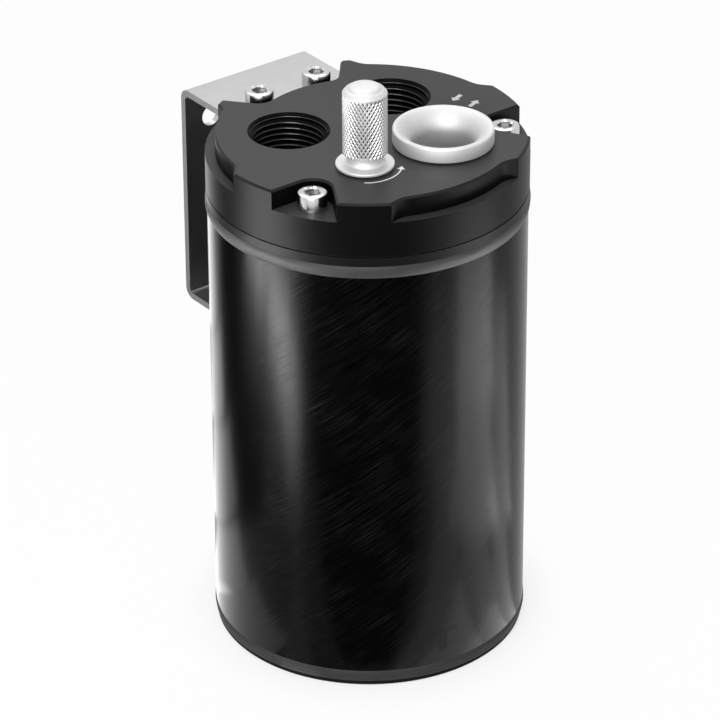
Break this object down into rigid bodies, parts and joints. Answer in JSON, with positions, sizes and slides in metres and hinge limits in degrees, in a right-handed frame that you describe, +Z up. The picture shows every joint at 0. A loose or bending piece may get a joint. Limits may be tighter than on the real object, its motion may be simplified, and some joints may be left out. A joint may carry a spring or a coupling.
{
  "type": "oil catch can",
  "caption": "Round black oil catch can with a screwed lid, hose ports, breather bell, dipstick and side bracket.",
  "frame": {"origin": "centre of the can's underside, where it stands", "axes": "+Z up along the can, +Y towards the mounting bracket, +X to the right seen from the front"},
  "size_m": [0.0942, 0.1096, 0.1865],
  "materials": {
    "can_shell": "black anodised, brushed on the slant, satin",
    "weld_bead": "black anodised weld bead, satin",
    "lid_anodised": "fine matt black anodised",
    "seal_rubber": "moulded nitrile rubber",
    "screw_steel": "bright stainless steel",
    "bracket_stainless": "grainy satin stainless sheet",
    "blasted_aluminium": "bead blasted, natural anodised",
    "rod_steel": "ground stainless rod",
    "plain_aluminium": "plain machined",
    "filter_fleece": "coarse grey-white fleece"
  },
  "bodies": {
    "can": {"can_tube": "can_shell", "base_plate": "can_shell", "top_flange": "can_shell", "top_weld_bead": "weld_bead", "bottom_weld_bead": "weld_bead", "lid": "lid_anodised", "lid_o_ring": "seal_rubber", "lid_screw_right": "screw_steel", "lid_screw_left": "screw_steel", "bracket": "bracket_stainless", "bracket_screw_right": "screw_steel", "bracket_screw_left": "screw_steel", "outlet_bell": "blasted_aluminium", "outlet_o_ring": "seal_rubber", "baffle_post_rear": "plain_aluminium", "baffle_post_right": "plain_aluminium", "baffle_post_left": "plain_aluminium", "baffle_screw_rear": "screw_steel", "baffle_screw_right": "screw_steel", "baffle_screw_left": "screw_steel", "baffle_plate": "plain_aluminium", "filter_pad": "filter_fleece", "drain_plug": "screw_steel", "drain_seal": "plain_aluminium"},
    "dipstick_carrier": {"dipstick_o_ring": "seal_rubber"},
    "dipstick": {"dipstick_knob": "blasted_aluminium", "dipstick_rod": "rod_steel"}
  },
  "joints": [
    {"name": "dipstick_lift", "type": "slide", "parent": "can", "child": "dipstick_carrier", "axis": [0, 0, 1], "range_m": [0, 0.15]},
    {"name": "dipstick_turn", "type": "hinge", "parent": "dipstick_carrier", "child": "dipstick", "pos_m": [-0.0147, -0.0182, 0.161], "axis": [0, 0, 1], "range_deg": [0, 540]}
  ]
}
